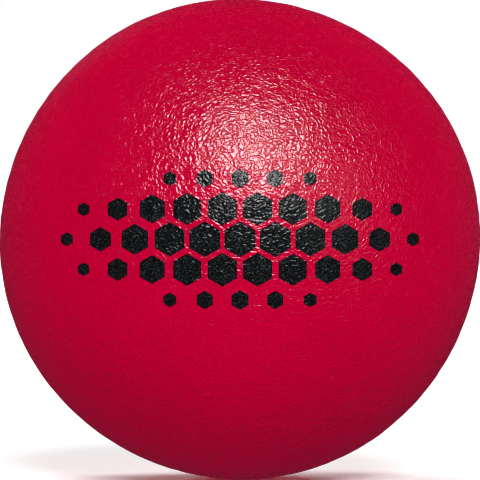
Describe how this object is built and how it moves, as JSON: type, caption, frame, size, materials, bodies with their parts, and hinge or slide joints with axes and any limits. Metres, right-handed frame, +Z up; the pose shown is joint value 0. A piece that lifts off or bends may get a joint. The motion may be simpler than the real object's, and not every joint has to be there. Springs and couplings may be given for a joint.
{
  "type": "dodgeball",
  "caption": "Round coated-foam dodgeball: soft foam core, sealing base coat, wrinkled coloured elastomer skin and a printed hexagon ornament on the front.",
  "frame": {"origin": "centre of the ball", "axes": "+Z up, through the highest point of the ball as it lies with its print level; the printed front faces -Y, and +X is to the right as seen from the front"},
  "size_m": [0.16, 0.1601, 0.16],
  "materials": {
    "foam": "soft open-cell polyurethane foam, matte",
    "base_coat": "uncoloured elastomer soaked into the foam's cells, matte",
    "skin": "crimson elastomer with a fine wrinkled grain, satin",
    "ink": "flexible black ink that follows the grain, satin"
  },
  "bodies": {
    "root": {"foam_core": "foam", "base_coat": "base_coat", "skin": "skin", "print_top_row": "ink", "print_upper_row": "ink", "print_centre_row": "ink", "print_lower_row": "ink", "print_bottom_row": "ink"}
  },
  "joints": []
}
